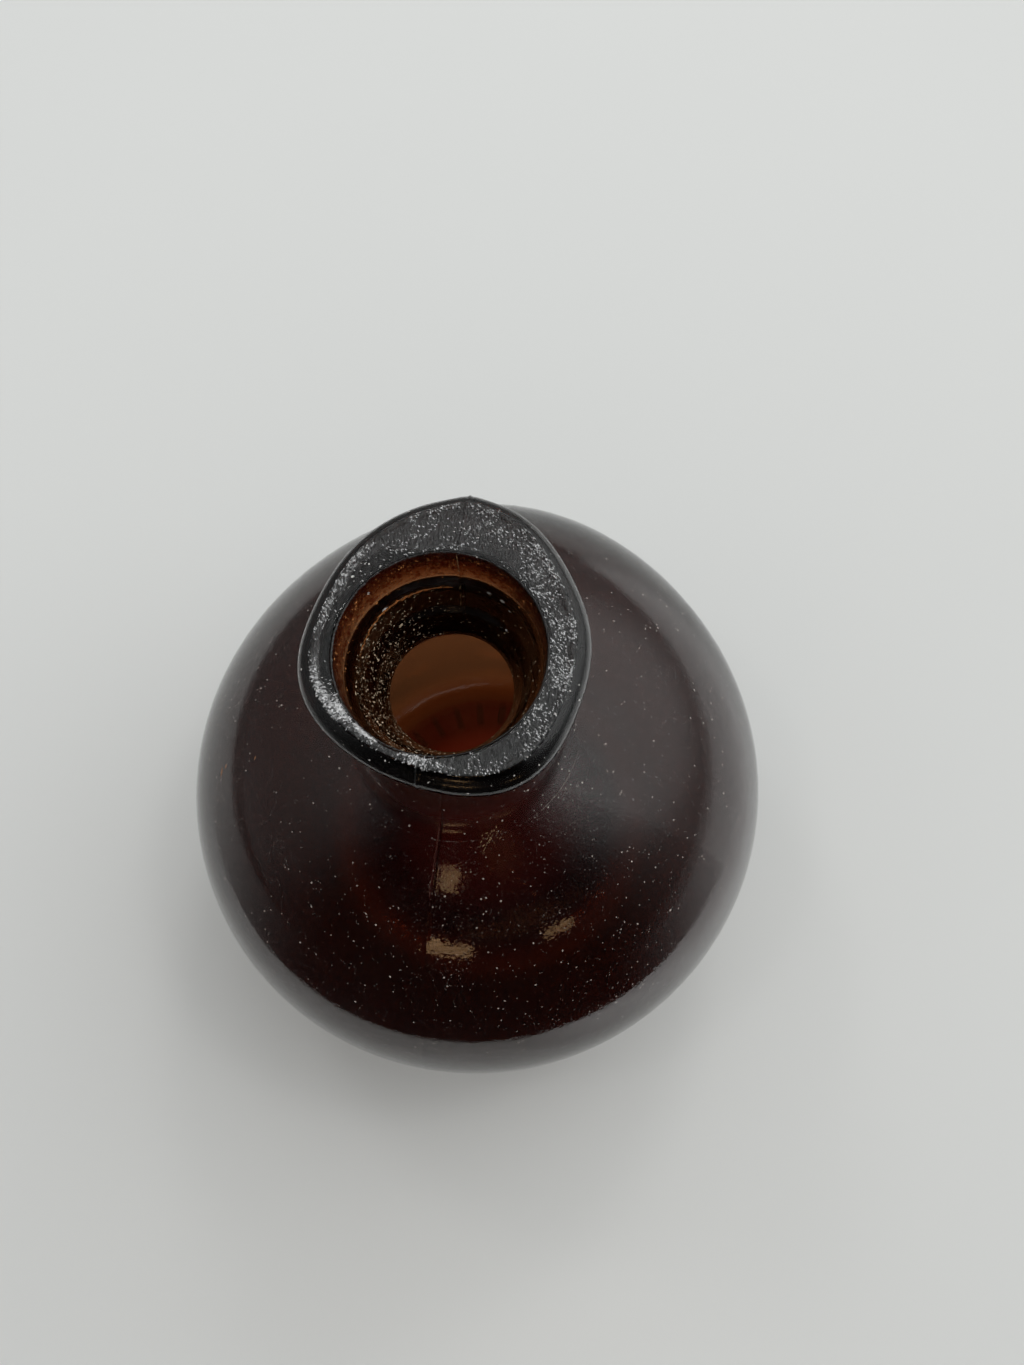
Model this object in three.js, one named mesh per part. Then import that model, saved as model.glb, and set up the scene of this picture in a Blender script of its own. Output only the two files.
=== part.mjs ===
// A round glass vase with a short neck and a thick, uneven lip, blown into a two-part mould.
// Millimetres, +Z up, origin on the table under the vase's axis.
// The glass is one wall all the way round. It is modelled in the zones that a glass maker names:
// base, heel, body, shoulder, neck and lip. Each zone is a closed dish or ring of the wall,
// and each meets the next face to face, on a cut across the wall.

import * as THREE from 'three';

// Globe: a flattened ball that the table cuts off at the foot
const globeRadius = 100;
const globeHalfHeight = 80;
const equatorHeight = 70;
const globeWall = 5.2;

// Where one zone of the globe gives way to the next: the top of the base as a height on the
// outside, and the others as angles up from the widest ring, in degrees
const baseTopHeight = 12;
const heelTopAngle = -26;
const bodyTopAngle = 28;
const shoulderTopAngle = 70;

// Base: a ring that stands on the table, round a hollow that rises to the middle
const standRadius = 49;
const standWidth = 8;
const hollowRise = 5;
const floorThickness = 6;

// Inside of the neck, from the throat up: a funnel, a narrow ledge, a second funnel, a step, and
// the straight bore that ends at the mouth. Below the throat a bell opens into the globe.
const throatRadius = 16.8;
const lowerFunnelSpread = 3.6;
const lowerFunnelRise = 8.5;
const ledgeWidth = 0.6;
const upperFunnelSpread = 2.7;
const upperFunnelRise = 7.5;
const stepWidth = 1.8;
const stepRise = 3.5;
const boreTaper = 0.6;
const mouthRounding = 0.6;
const bellSpread = 10.7;

// Outside of the neck: a flare up to the waist, which holds its width for a while, and a swell up to the lip
const flareRise = 19.8;
const flareSpread = 2.5;
const waistWall = 8.2;
const waistHold = 6;
const swellRise = 22.36;
const neckTopWall = 4.6;

// Lip: a flat top with a bead round it, a fat rounded edge, and an underside that curves in to the neck
const lipHeight = 15.6;
const lipOverhang = 8.9;
const edgeRadius = 5.5;
const edgeHalfHeight = 5.2;
const edgeArc = 145;
const undersideWidth = 3;
const undersideRise = 1;
const beadWidth = 1.6;
const beadRise = 0.4;

// The waves that make the lip's outline uneven. A wave has a number of crests, a height and the
// direction of one crest, in degrees from +X towards +Y.
const lipWaves = [
  { crests: 1, height: 3.85, towards: 64 },
  { crests: 2, height: 1.4, towards: 95 },
  { crests: 3, height: 1.6, towards: 73 },
  { crests: 4, height: 0.35, towards: 15 },
];

// Flat faces round the axis: a multiple of four, so that the widest points lie on X and Y
const sides = 48;

const point = (radius, height) => new THREE.Vector2(radius, height);

// The globe's section is two ellipses about one centre, a wall apart. An angle is counted up from
// the widest ring, and the inset is how far a curve lies inside the outer surface.
const onGlobe = (inset, angle) => point(
  (globeRadius - inset) * Math.cos(angle),
  equatorHeight + (globeHalfHeight - inset) * Math.sin(angle),
);
const baseTop = Math.asin((baseTopHeight - equatorHeight) / globeHalfHeight);
const heelTop = THREE.MathUtils.degToRad(heelTopAngle);
const bodyTop = THREE.MathUtils.degToRad(bodyTopAngle);
const shoulderTop = THREE.MathUtils.degToRad(shoulderTopAngle);

// How fast the height rises with the radius along the globe's curve at an angle
const slopeAt = (inset, angle) =>
  -(globeHalfHeight - inset) / ((globeRadius - inset) * Math.tan(angle));

// Where the curve's tangent at an angle reaches a radius, and where it reaches a height
function tangentAtRadius(inset, angle, radius) {
  const start = onGlobe(inset, angle);
  return point(radius, start.y + (radius - start.x) * slopeAt(inset, angle));
}

function tangentAtHeight(inset, angle, height) {
  const start = onGlobe(inset, angle);
  return point(start.x + (height - start.y) / slopeAt(inset, angle), height);
}

const curved = (start, control, end, steps) =>
  new THREE.QuadraticBezierCurve(start, control, end).getPoints(steps);

// The stack of heights and radii up the neck
const waistHeight = onGlobe(0, shoulderTop).y + flareRise;
const neckTopHeight = waistHeight + swellRise;
const ledgeHeight = neckTopHeight - upperFunnelRise;
const throatHeight = ledgeHeight - lowerFunnelRise;
const ledgeRadius = throatRadius + lowerFunnelSpread;
const stepRadius = ledgeRadius + ledgeWidth + upperFunnelSpread;
const boreRadius = stepRadius + stepWidth;
const mouthRadius = boreRadius + boreTaper;
const waistRadius = throatRadius + waistWall;
const neckTopRadius = stepRadius + neckTopWall;
const lipReach = neckTopRadius + lipOverhang;
const lipTopHeight = neckTopHeight + lipHeight;
const halfEdgeArc = THREE.MathUtils.degToRad(edgeArc) / 2;
const edgeStart = lipReach - edgeRadius * (1 - Math.cos(halfEdgeArc));

// One outline from stretches that follow each other, with each shared point kept once
function joined(...stretches) {
  const outline = [];
  for (const next of stretches.flat()) {
    const last = outline.at(-1);
    if (!last || last.distanceTo(next) > 1e-6) outline.push(next);
  }
  return outline;
}

// A solid of revolution about Z, from an outline that runs up the outside and down the inside
function turned(outline) {
  const geometry = new THREE.LatheGeometry(outline, sides);
  geometry.rotateX(Math.PI / 2);
  return geometry;
}

function turnedRing(...stretches) {
  const outline = joined(...stretches);
  return turned([...outline, outline[0].clone()]);
}

// The dish at the foot. Its hollow underside and its floor both reach the axis.
function baseGeometry() {
  const standInside = point(standRadius - standWidth, 0);
  const crownRadius = standInside.x - standWidth;
  const floorHeight = hollowRise + floorThickness;
  const hollow = curved(point(0, hollowRise), point(crownRadius, hollowRise), standInside, 6);
  const foot = curved(
    point(standRadius, 0), tangentAtHeight(0, baseTop, 0), onGlobe(0, baseTop), 4,
  );
  const floor = new THREE.CubicBezierCurve(
    onGlobe(globeWall, baseTop), tangentAtHeight(globeWall, baseTop, floorThickness),
    point(crownRadius, floorHeight), point(0, floorHeight),
  );
  return turned(joined(hollow, foot, floor.getPoints(9)));
}

// The globe's curve through two or more angles, in as many steps from each to the next
function alongGlobe(inset, angles, steps) {
  const points = [onGlobe(inset, angles[0])];
  for (let stretch = 1; stretch < angles.length; stretch++) {
    for (let i = 1; i <= steps; i++) {
      points.push(onGlobe(inset, THREE.MathUtils.lerp(angles[stretch - 1], angles[stretch], i / steps)));
    }
  }
  return points;
}

// A ring of the globe's wall through two or more angles, given from the lowest up
const globeRing = (angles, steps) => turnedRing(
  alongGlobe(0, angles, steps), alongGlobe(globeWall, angles.toReversed(), steps),
);

// Outside, the globe's curve sweeps in to the waist and out again to the lip. Inside, the funnels
// and the ledge come down to the throat, which opens below into the globe.
function neckGeometry() {
  const waist = point(waistRadius, waistHeight);
  const flareTurn = tangentAtRadius(0, shoulderTop, waistRadius + flareSpread);
  const bellTurn = tangentAtRadius(globeWall, shoulderTop, throatRadius + bellSpread);
  const swellTurn = point(waistRadius, waistHeight + waistHold);
  return turnedRing(
    curved(onGlobe(0, shoulderTop), flareTurn, waist, 8),
    curved(waist, swellTurn, point(neckTopRadius, neckTopHeight), 4),
    point(stepRadius, neckTopHeight),
    point(ledgeRadius + ledgeWidth, ledgeHeight),
    point(ledgeRadius, ledgeHeight),
    curved(point(throatRadius, throatHeight), bellTurn, onGlobe(globeWall, shoulderTop), 8),
  );
}

// The lip's mean section: out along the underside, round the edge, over the bead and the flat, and
// down the bore
function lipOutline() {
  const flatHeight = lipTopHeight - beadRise;
  const edge = new THREE.EllipseCurve(
    lipReach - edgeRadius, lipTopHeight - edgeHalfHeight,
    edgeRadius, edgeHalfHeight, -halfEdgeArc, halfEdgeArc,
  );
  const underside = edge.getPoint(0);
  const undersideTurn = point(underside.x - undersideWidth, underside.y - undersideRise);
  return joined(
    curved(point(neckTopRadius, neckTopHeight), undersideTurn, underside, 4),
    edge.getPoints(9),
    point(edgeStart - beadWidth / 2, lipTopHeight),
    point(edgeStart - beadWidth, flatHeight),
    point(mouthRadius + mouthRounding, flatHeight),
    point(mouthRadius, flatHeight - mouthRounding),
    point(boreRadius, neckTopHeight + stepRise),
    point(stepRadius, neckTopHeight),
  );
}

// How far the waves move the lip's edge in or out, in one direction
const lipSwell = direction => lipWaves.reduce((swell, { crests, height, towards }) =>
  swell + height * Math.cos(crests * (direction - THREE.MathUtils.degToRad(towards))), 0);

// The share of that move which a point of the section takes. The bore and the neck stay round, the
// bead and the rounded edge move as they are, and the flat and the underside between are stretched.
function movedShare(radius, height) {
  const onTop = height > lipTopHeight - edgeHalfHeight;
  const still = onTop ? mouthRadius + mouthRounding : neckTopRadius;
  const moved = onTop ? edgeStart - beadWidth : edgeStart;
  return THREE.MathUtils.clamp((radius - still) / (moved - still), 0, 1);
}

function lipGeometry() {
  const geometry = turnedRing(lipOutline());
  const positions = geometry.attributes.position;
  for (let i = 0; i < positions.count; i++) {
    const x = positions.getX(i);
    const y = positions.getY(i);
    const radius = Math.hypot(x, y);
    const reach = radius + movedShare(radius, positions.getZ(i)) * lipSwell(Math.atan2(y, x));
    positions.setXY(i, x * reach / radius, y * reach / radius);
  }
  geometry.computeVertexNormals();
  return geometry;
}

// Dark red-brown glass. The lip's pebbled top scatters more light than the smooth wall.
const glass = roughness => new THREE.MeshStandardMaterial({
  color: 0x3a130d,
  roughness,
  metalness: 0,
});

const group = new THREE.Group();
group.name = 'bubble_glass_vase';

function add(name, geometry, roughness) {
  const mesh = new THREE.Mesh(geometry, glass(roughness));
  mesh.name = name;
  group.add(mesh);
}

add('base', baseGeometry(), 0.12);
add('heel', globeRing([baseTop, heelTop], 3), 0.06);
add('body', globeRing([heelTop, 0, bodyTop], 4), 0.06);
add('shoulder', globeRing([bodyTop, shoulderTop], 5), 0.06);
add('neck', neckGeometry(), 0.08);
add('lip', lipGeometry(), 0.3);

export default group;
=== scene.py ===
"""A round, dark amber-brown glass vase with a thick uneven lip, dressed for pictures.

The glass is one closed piece: its outline is drawn point by point, spun about the vase's axis, and then
worked like hot glass, with the lip pulled out of round, mould seams raised, the lip's top pebbled and
grooves pressed into the ring that it stands on. Dust, scratches and small marks lie on it as chips of their
own, and so do painted glints, a painted line of light and a painted warm highlight: bright chips that
stand in for light caught on the lip, in the neck and on the globe. Metres, +Z up, origin on the table under
the axis.
"""

import math
import random
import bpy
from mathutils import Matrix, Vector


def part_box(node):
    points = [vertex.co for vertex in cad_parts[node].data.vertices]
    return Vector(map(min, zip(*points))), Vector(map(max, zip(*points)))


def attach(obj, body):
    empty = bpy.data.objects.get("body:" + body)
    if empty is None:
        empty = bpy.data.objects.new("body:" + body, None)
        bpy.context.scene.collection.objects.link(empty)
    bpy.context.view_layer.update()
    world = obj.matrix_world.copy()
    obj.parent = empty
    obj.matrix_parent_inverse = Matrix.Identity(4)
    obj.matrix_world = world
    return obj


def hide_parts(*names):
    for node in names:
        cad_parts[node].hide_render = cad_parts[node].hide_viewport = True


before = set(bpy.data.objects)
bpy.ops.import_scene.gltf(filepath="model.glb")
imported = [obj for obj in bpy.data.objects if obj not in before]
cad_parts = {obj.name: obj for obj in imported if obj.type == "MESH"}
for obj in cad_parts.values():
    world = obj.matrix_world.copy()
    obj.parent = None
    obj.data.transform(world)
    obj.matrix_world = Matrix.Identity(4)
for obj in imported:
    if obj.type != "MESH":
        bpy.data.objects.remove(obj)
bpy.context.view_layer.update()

from types import SimpleNamespace

import bpy
import numpy as np
from bpy.props import FloatProperty, FloatVectorProperty, IntProperty, PointerProperty
from bpy.types import Operator, Panel, PropertyGroup
from mathutils import Matrix, Vector, kdtree, noise

bl_info = {
    "name": "Bubble glass vase",
    "version": (1, 0, 0),
    "blender": (4, 5, 0),
    "location": "View3D > Sidebar > Vase",
    "description": "Models a round dark glass vase with an uneven lip, its dust and its studio",
    "category": "Add Mesh",
}

MM = 0.001
CAD_NODES = ("base", "heel", "body", "shoulder", "neck", "lip")
LIP_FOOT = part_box("lip")[0].z
LIP_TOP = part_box("lip")[1].z
GLOBE_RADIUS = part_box("body")[1].x


def length_mm(name, millimetres, description):
    """A length for the sidebar, written here in millimetres."""
    return FloatProperty(name=name, description=description, default=millimetres * MM, unit="LENGTH")


def angle_deg(name, degrees, description):
    """An angle for the sidebar, written here in degrees."""
    return FloatProperty(name=name, description=description, default=math.radians(degrees), subtype="ANGLE")


class GlobeShape(PropertyGroup):
    """Sizes of the globe and of the foot that it stands on."""

    radius: FloatProperty(
        name="Globe radius", description="Widest radius of the glass", default=GLOBE_RADIUS, unit="LENGTH")
    half_height: length_mm("Half height", 80, "From the widest ring to where the globe would close")
    equator: length_mm("Widest ring", 70, "Height of the widest ring above the table")
    wall: length_mm("Wall", 5.2, "Thickness of the glass")
    base_top: length_mm("Base top", 12, "Height where the base gives way to the globe")
    shoulder_top: angle_deg("Shoulder top", 70, "Angle above the widest ring where the neck's flare begins")
    stand_radius: length_mm("Stand radius", 49, "Outside of the ring that touches the table")
    stand_width: length_mm("Stand width", 8, "Width of that ring")
    hollow_rise: length_mm("Hollow", 5, "Height of the hollow under the base")
    floor_thickness: length_mm("Floor", 6, "Thickness of the glass floor")
    swell: length_mm("Swell", 4.4, "How much fuller the upper back of the globe is")
    swell_direction: angle_deg("Swell direction", 82, "Direction of that swell, from +X towards +Y")
    swell_spread: angle_deg("Swell spread", 37, "How far that swell reaches round")
    groove_count: IntProperty(
        name="Grooves", description="Grooves pressed across the ring that touches the table", default=30)
    groove_depth: length_mm("Groove depth", 0.9, "Depth of those grooves")
    groove_width: length_mm("Groove width", 2.8, "Width of those grooves")


class NeckShape(PropertyGroup):
    """Sizes of the neck, from the throat up to the mouth, and of its outside."""

    throat_radius: length_mm("Throat", 16.8, "Narrowest radius of the bore")
    lower_spread: length_mm("Lower funnel spread", 3.6, "How far the lower funnel opens")
    lower_rise: length_mm("Lower funnel rise", 8.5, "Height of the lower funnel")
    ledge_width: length_mm("Ledge", 0.6, "Width of the ledge between the funnels")
    upper_spread: length_mm("Upper funnel spread", 2.7, "How far the upper funnel opens")
    upper_rise: length_mm("Upper funnel rise", 7.5, "Height of the upper funnel")
    step_width: length_mm("Step", 1.8, "Width of the step at the foot of the bore")
    step_rise: length_mm("Step rise", 3.5, "Height of that step")
    bore_taper: length_mm("Bore taper", 0.6, "How far the bore opens up to the mouth")
    flare_rise: length_mm("Flare", 19.8, "Height from the shoulder to the waist")
    flare_spread: length_mm("Flare spread", 2.5, "How far outside the waist the flare turns to the shoulder")
    bell_spread: length_mm("Bell spread", 10.7, "How far the bore opens below the throat before it turns")
    waist_hold: length_mm("Waist hold", 6, "Height over which the waist keeps its width")
    waist_wall: length_mm("Waist wall", 8.2, "Glass between throat and waist")
    top_wall: length_mm("Top wall", 4.6, "Glass at the top of the neck")


class LipShape(PropertyGroup):
    """Sizes of the lip and of what makes it uneven."""

    overhang: length_mm("Overhang", 8.9, "Mean reach of the lip past the neck")
    edge_radius: length_mm("Edge", 5.5, "Depth of the rounded edge")
    edge_half_height: length_mm("Edge half height", 5.2, "Half the thickness of the rounded edge")
    underside_width: length_mm("Underside width", 3, "Level part of the underside")
    underside_rise: length_mm("Underside rise", 1, "Rise over that part")
    edge_arc: angle_deg("Edge arc", 145, "How far the rounding runs round the edge")
    bead_width: length_mm("Bead width", 1.6, "Width of the bead round the flat")
    bead_rise: length_mm("Bead rise", 0.4, "Height of that bead")
    mouth_rounding: length_mm("Mouth rounding", 0.6, "Rounding of the mouth's edge")
    pebble_depth: length_mm("Pebble depth", 0.13, "Depth of the pebbling on the flat top")
    pebble_size: length_mm("Pebble size", 1.1, "Breadth of one pebble")
    crest_height: length_mm("Crest", 0.8, "How far the edge stands out where the seam crosses it")
    crest_spread: angle_deg("Crest spread", 6, "How far that crest reaches round")
    seam_direction: angle_deg("Seam direction", 82, "Direction of the mould seam, from +X towards +Y")
    seam_height: length_mm("Seam height", 0.34, "How proud the seam stands on the lip and in the neck")
    seam_width: length_mm("Seam width", 0.34, "Half the breadth of the seam")


class GlassFinish(PropertyGroup):
    """Colour and surface of the glass."""

    tint: FloatVectorProperty(
        name="Tint", description="Colour that the glass leaves in the light", subtype="COLOR",
        default=(0.566, 0.277, 0.0), min=0, max=1)
    density: FloatProperty(name="Density", description="How strongly a metre of glass absorbs", default=705)
    roughness: FloatProperty(name="Roughness", description="Of the smooth wall", default=0.02)
    lip_roughness: FloatProperty(
        name="Lip roughness", description="Added on the worn part of the lip's top", default=0.3)
    bore_roughness: FloatProperty(
        name="Bore roughness", description="Added in the bore below the lip", default=0.17)
    neck_roughness: FloatProperty(
        name="Neck roughness", description="Added inside the whole neck", default=0.12)
    flare_roughness: FloatProperty(
        name="Flare roughness", description="Added outside on the neck, below the lip", default=0.38)
    edge_roughness: FloatProperty(
        name="Edge roughness", description="Added on the lip's rounded edge", default=0.16)


class DustSpread(PropertyGroup):
    """How many grains, scratches and flake-shaped painted glints lie on the glass, and how big the grains
    are.
    """

    on_globe: IntProperty(name="On the globe", description="Grains on the globe", default=3400)
    on_lip: IntProperty(name="On the lip", description="Grains on the lip", default=160)
    in_neck: IntProperty(name="In the neck", description="Grains inside the neck", default=1300)
    # The grains in the bore are partly painted glow: orange chips that brighten the band where light shines
    # through
    in_bore: IntProperty(name="In the bore", description="Grains in the bore", default=520)
    smallest: length_mm("Smallest", 0.24, "Smallest grain")
    largest: length_mm("Largest", 0.8, "Largest grain")
    seed: IntProperty(name="Seed", description="Start of the scatter", default=7)
    # The flakes are painted glints: bright matt slivers that stand in for the sparkle of the lip's pebbled
    # top
    flakes: IntProperty(name="Flakes", description="Bright flakes on the lip's flat top", default=2600)
    scratches: IntProperty(name="Scratches", description="Fine scratches on the globe", default=1500)


class StageLook(PropertyGroup):
    """Floor, light and camera."""

    floor_colour: FloatVectorProperty(
        name="Floor", description="Colour of the floor", subtype="COLOR",
        default=(0.785, 0.795, 0.785), min=0, max=1)
    glow_under_glass: FloatProperty(
        name="Glow", description="Light of the floor under the vase, seen through the glass only",
        default=0.33)
    horizon_light: FloatProperty(name="Horizon", description="Light from the horizon", default=0.4)
    zenith_light: FloatProperty(name="Zenith", description="Light from above", default=0.66)
    side_light: FloatProperty(name="Side", description="Further light from the bright side", default=0.72)
    camera_place: FloatVectorProperty(
        name="Camera", description="Where the camera stands", subtype="TRANSLATION",
        default=(27.85 * MM, -88.22 * MM, 434.03 * MM))
    focal_length: FloatProperty(
        name="Focal length", description="For a picture whose long side is 36 mm", default=27.06)


def point(radius, height):
    """A point of an outline, in the plane through the axis."""
    return Vector((radius, 0, height))


def level_way(angle):
    """A level direction, from +X towards +Y."""
    return Vector((math.cos(angle), math.sin(angle), 0))


def curve(*controls, steps):
    """Points along a Bezier curve of any degree, its first point left out."""
    points = []
    for i in range(1, steps + 1):
        layer = list(controls)
        while len(layer) > 1:
            layer = [a.lerp(b, i / steps) for a, b in zip(layer, layer[1:])]
        points.append(layer[0])
    return points


def globe_point(shape, inset, angle):
    """A point of the globe's section, a depth inside the outer surface."""
    return point(
        (shape.radius - inset) * math.cos(angle),
        shape.equator + (shape.half_height - inset) * math.sin(angle))


def globe_arc(shape, inset, start, end, steps):
    """Points along the globe's section from one angle to another, the start left out."""
    return [globe_point(shape, inset, start + (end - start) * i / steps) for i in range(1, steps + 1)]


def globe_slope(shape, inset, angle):
    """Rise over radius of the globe's curve."""
    return -(shape.half_height - inset) / ((shape.radius - inset) * math.tan(angle))


def tangent_at_radius(shape, inset, angle, radius):
    """Where the globe's tangent reaches a radius."""
    start = globe_point(shape, inset, angle)
    return point(radius, start.z + (radius - start.x) * globe_slope(shape, inset, angle))


def tangent_at_height(shape, inset, angle, height):
    """Where the globe's tangent reaches a height."""
    start = globe_point(shape, inset, angle)
    return point(start.x + (height - start.z) / globe_slope(shape, inset, angle), height)


def base_top_angle(shape):
    """The globe's angle at the top of the base."""
    return math.asin((shape.base_top - shape.equator) / shape.half_height)


def neck_levels(neck):
    """Radii and heights of the bore, worked out from the foot of the lip."""
    ledge_height = LIP_FOOT - neck.upper_rise
    ledge_radius = neck.throat_radius + neck.lower_spread
    step_radius = ledge_radius + neck.ledge_width + neck.upper_spread
    return SimpleNamespace(
        throat=point(neck.throat_radius, ledge_height - neck.lower_rise),
        ledge_inside=point(ledge_radius, ledge_height),
        ledge_outside=point(ledge_radius + neck.ledge_width, ledge_height),
        step=point(step_radius, LIP_FOOT),
        bore_foot=point(step_radius + neck.step_width, LIP_FOOT + neck.step_rise),
        mouth_radius=step_radius + neck.step_width + neck.bore_taper,
        top_outside=point(step_radius + neck.top_wall, LIP_FOOT))


def underside(shape):
    """The hollow under the base, the ring that stands on the table, and the foot of the globe."""
    inside = point(shape.stand_radius - shape.stand_width, 0)
    outside = point(shape.stand_radius, 0)
    crown = point(0, shape.hollow_rise)
    turn = point(inside.x - shape.stand_width, shape.hollow_rise)
    low = base_top_angle(shape)
    return [
        crown, *curve(crown, turn, inside, steps=9), *curve(inside, outside, steps=8),
        *curve(outside, tangent_at_height(shape, 0, low, 0), globe_point(shape, 0, low), steps=6)]


def neck_outside(shape, neck, levels):
    """The flare up to the waist, and the swell up to the lip."""
    foot = globe_point(shape, 0, shape.shoulder_top)
    waist_radius = neck.throat_radius + neck.waist_wall
    waist = point(waist_radius, foot.z + neck.flare_rise)
    middle = point(waist_radius, waist.z + neck.waist_hold)
    turn = tangent_at_radius(shape, 0, shape.shoulder_top, waist_radius + neck.flare_spread)
    return [*curve(foot, turn, waist, steps=14), *curve(waist, middle, levels.top_outside, steps=8)]


def lip_section(lip, levels):
    """Round the edge, over the bead and the flat top, and down the bore to its foot."""
    reach = levels.top_outside.x + lip.overhang
    edge = []
    edge_steps = 18
    for i in range(edge_steps + 1):
        angle = lip.edge_arc * (i / edge_steps - 0.5)
        edge.append(point(
            reach - lip.edge_radius + lip.edge_radius * math.cos(angle),
            LIP_TOP - lip.edge_half_height + lip.edge_half_height * math.sin(angle)))
    turn = edge[0] - point(lip.underside_width, lip.underside_rise)
    flat = LIP_TOP - lip.bead_rise
    bead = point(edge[-1].x - lip.bead_width / 2, LIP_TOP)
    flat_outside = point(edge[-1].x - lip.bead_width, flat)
    flat_inside = point(levels.mouth_radius + lip.mouth_rounding, flat)
    mouth = point(levels.mouth_radius, flat - lip.mouth_rounding)
    corner = point(levels.mouth_radius, flat)
    return [
        *curve(levels.top_outside, turn, edge[0], steps=8), *edge[1:],
        *curve(edge[-1], bead, flat_outside, steps=5), *curve(flat_outside, flat_inside, steps=14),
        *curve(flat_inside, corner, mouth, steps=3), *curve(mouth, levels.bore_foot, steps=12)]


def inside(shape, neck, levels):
    """From the foot of the bore down the funnels and the bell, round the globe and over the floor."""
    bell_end = globe_point(shape, shape.wall, shape.shoulder_top)
    bell_turn = tangent_at_radius(
        shape, shape.wall, shape.shoulder_top, neck.throat_radius + neck.bell_spread)
    low = base_top_angle(shape)
    floor_height = shape.hollow_rise + shape.floor_thickness
    crown_radius = shape.stand_radius - 2 * shape.stand_width
    return [
        *curve(levels.bore_foot, levels.step, steps=4),
        *curve(levels.step, levels.ledge_outside, steps=5),
        levels.ledge_inside,
        *curve(levels.ledge_inside, levels.throat, steps=6),
        *curve(levels.throat, bell_turn, bell_end, steps=12),
        *globe_arc(shape, shape.wall, shape.shoulder_top, low, 30),
        *curve(
            globe_point(shape, shape.wall, low),
            tangent_at_height(shape, shape.wall, low, shape.floor_thickness),
            point(crown_radius, floor_height), point(0, floor_height), steps=14)]


def glass_outline(shape, neck, lip):
    """The whole section of the glass, from the axis under the base round to the axis on the floor."""
    levels = neck_levels(neck)
    return [
        *underside(shape),
        *globe_arc(shape, 0, base_top_angle(shape), shape.shoulder_top, 40),
        *neck_outside(shape, neck, levels),
        *lip_section(lip, levels),
        *inside(shape, neck, levels)]


def settle_order(piece, outline, columns):
    """Puts each point exactly on its ring and column, and the points and faces in a fixed order.

    Merging leaves them in an order that changes from run to run, and the dust is scattered by it.
    """
    tree = kdtree.KDTree(len(outline))
    for ring, spot in enumerate(outline):
        tree.insert(spot, ring)
    tree.balance()
    mesh = piece.data
    places = []
    for vertex in mesh.vertices:
        radius = math.hypot(vertex.co.x, vertex.co.y)
        column = round(math.atan2(vertex.co.y, vertex.co.x) / math.tau * columns) % columns
        places.append((tree.find((radius, 0, vertex.co.z))[1], column if radius > MM / 100 else 0))
    if len(set(places)) < len(places):
        raise RuntimeError("two points of the glass fall on one place")
    order = sorted(range(len(places)), key=places.__getitem__)
    rank = {old: new for new, old in enumerate(order)}
    points = []
    for i in order:
        ring, column = places[i]
        points.append(Matrix.Rotation(math.tau * column / columns, 3, "Z") @ outline[ring])
    faces = []
    for polygon in mesh.polygons:
        corners = [rank[i] for i in polygon.vertices]
        first = corners.index(min(corners))
        faces.append(corners[first:] + corners[:first])
    mesh.clear_geometry()
    mesh.from_pydata(points, [], sorted(faces))


def spin_outline(name, outline, columns):
    """Draws an outline point by point, spins it an eighth of a turn and copies that round the rest."""
    bpy.ops.object.select_all(action="DESELECT")
    bpy.ops.mesh.primitive_plane_add(size=MM)
    piece = bpy.context.object
    piece.name = name
    piece.data.name = name
    bpy.ops.object.mode_set(mode="EDIT")
    bpy.ops.mesh.merge(type="CENTER")
    bpy.ops.transform.translate(value=outline[0])
    for start, end in zip(outline, outline[1:]):
        bpy.ops.mesh.extrude_vertices_move(TRANSFORM_OT_translate={"value": end - start})
    bpy.ops.mesh.select_all(action="SELECT")
    sector = math.tau / 8
    bpy.ops.mesh.spin(steps=columns // 8, angle=sector, center=(0, 0, 0), axis=(0, 0, 1))
    for turn in (sector, sector * 2, sector * 4):
        bpy.ops.mesh.select_all(action="SELECT")
        bpy.ops.mesh.duplicate()
        bpy.ops.transform.rotate(value=turn, orient_axis="Z", center_override=(0, 0, 0))
    bpy.ops.mesh.select_all(action="SELECT")
    bpy.ops.mesh.remove_doubles(threshold=MM / 200)
    bpy.ops.mesh.normals_make_consistent(inside=False)
    bpy.ops.object.mode_set(mode="OBJECT")
    settle_order(piece, outline, columns)
    bpy.ops.object.shade_smooth()
    return piece


def read_rows(items, key):
    """The mesh's points, or what else is kept as X, Y and Z for its points or faces, as rows."""
    values = np.empty(len(items) * 3)
    items.foreach_get(key, values)
    return values.reshape(-1, 3)


def read_points(piece):
    """The mesh's points as rows, the distance of each from the axis, and its direction."""
    points = read_rows(piece.data.vertices, "co")
    return points, np.hypot(points[:, 0], points[:, 1]), np.arctan2(points[:, 1], points[:, 0])


def write_points(piece, points):
    """Puts rows of X, Y and Z back into the mesh."""
    piece.data.vertices.foreach_set("co", points.ravel())
    piece.data.update()


def write_note(piece, name, values):
    """Keeps a number for each of the mesh's points, which the material reads."""
    piece.data.attributes.new(name, "FLOAT", "POINT").data.foreach_set("value", values)


def ramp(values, low, high):
    """Rises smoothly from 0 at low to 1 at high."""
    share = np.clip((values - low) / (high - low), 0, 1)
    return share * share * (3 - 2 * share)


def off_way(angle, direction):
    """The signed angle from a direction, within half a turn."""
    return (angle - direction + math.pi) % math.tau - math.pi


def noise_at(points, scale, offset):
    """Smooth noise between about -1 and 1, a value for each point."""
    shift = Vector(offset)
    return np.array([noise.noise(Vector(p) * scale + shift) for p in points])


def gather_columns(piece, direction, share):
    """Draws the mesh's columns together at the mould seam, so that its fine line has points to carry it."""
    points, radius, angle = read_points(piece)
    angle -= direction
    angle = angle - share / 2 * np.sin(2 * angle) + direction
    points[:, 0] = radius * np.cos(angle)
    points[:, 1] = radius * np.sin(angle)
    write_points(piece, points)


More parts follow.
